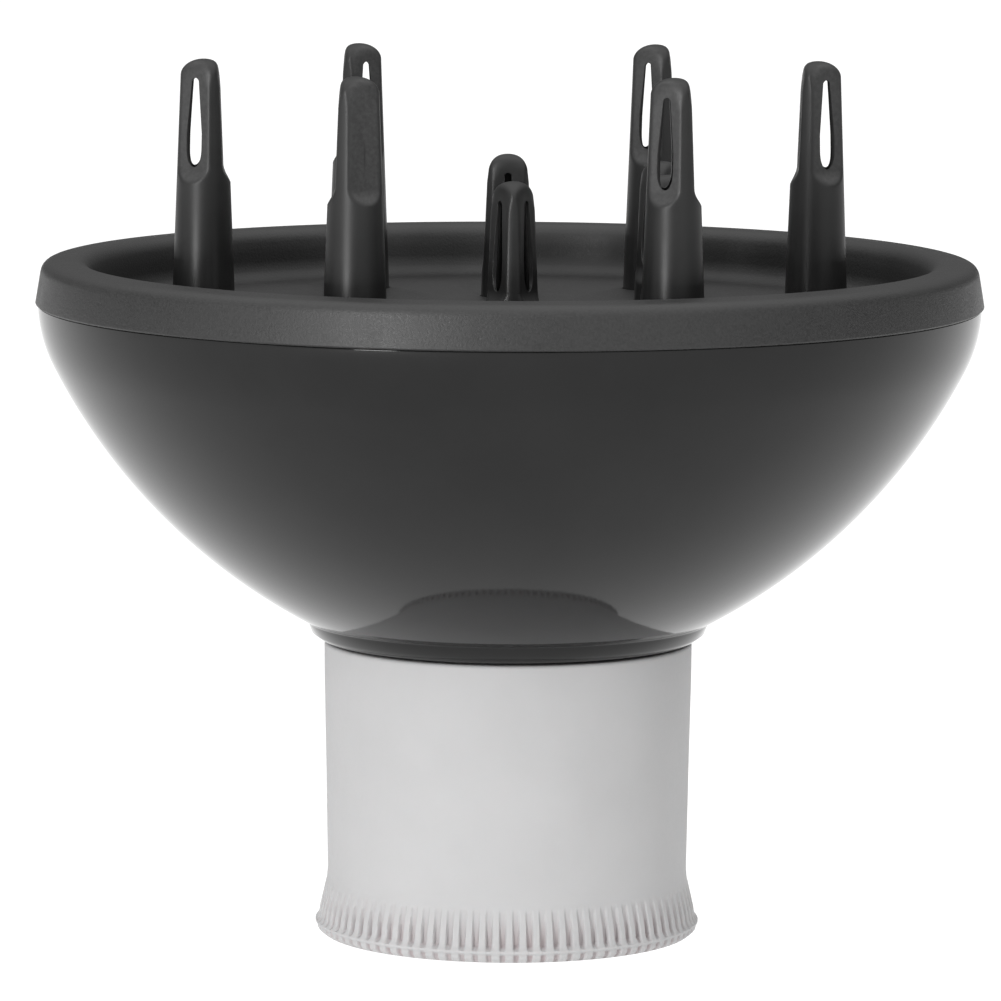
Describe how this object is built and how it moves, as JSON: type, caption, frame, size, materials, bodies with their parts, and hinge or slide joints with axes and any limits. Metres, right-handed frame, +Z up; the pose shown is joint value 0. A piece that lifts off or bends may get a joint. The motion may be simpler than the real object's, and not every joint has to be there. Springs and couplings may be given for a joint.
{
  "type": "hair dryer diffuser",
  "caption": "Wide dark bowl with hollow air fingers standing in it, on a pale soft sleeve that grips a hair dryer's nozzle; the sleeve turns on the neck and pulls off.",
  "frame": {"origin": "on the axis, level with the sleeve's foot, where the diffuser stands", "axes": "+Z up the axis from the dryer's side to the finger tips; the outer fingers stand at 0, 60, 120 ... degrees from +X"},
  "size_m": [0.16, 0.16, 0.1484],
  "materials": {
    "bowl_gloss": "glossy moulded plastic, charcoal",
    "plate_matte": "fine-grained matte plastic, charcoal",
    "finger_satin": "smooth satin plastic, charcoal",
    "inner_matte": "matte moulded plastic, black",
    "ring_matte": "satin moulded plastic, black",
    "sleeve_silicone": "soft matte silicone, light grey",
    "screw_steel": "zinc-plated steel"
  },
  "bodies": {
    "bowl": {"bowl_shell": "bowl_gloss", "finger_plate": "plate_matte", "tall_finger_1": "finger_satin", "tall_finger_2": "finger_satin", "tall_finger_3": "finger_satin", "tall_finger_4": "finger_satin", "tall_finger_5": "finger_satin", "tall_finger_6": "finger_satin", "short_finger_1": "finger_satin", "short_finger_2": "finger_satin", "short_finger_3": "finger_satin", "short_finger_4": "finger_satin", "short_finger_5": "finger_satin", "short_finger_6": "finger_satin", "finger_retainer": "inner_matte", "retainer_screws": "screw_steel", "air_spreader": "inner_matte", "spreader_screws": "screw_steel"},
    "swivel_ring": {"swivel_ring": "ring_matte"},
    "sleeve": {"dryer_sleeve": "sleeve_silicone"}
  },
  "joints": [
    {"name": "sleeve_swivel", "type": "hinge", "parent": "bowl", "child": "swivel_ring", "pos_m": [0, 0, 0.045], "axis": [0, 0, 1], "continuous": true},
    {"name": "sleeve_pull", "type": "slide", "parent": "swivel_ring", "child": "sleeve", "axis": [0, 0, -1], "range_m": [0, 0.06]}
  ]
}
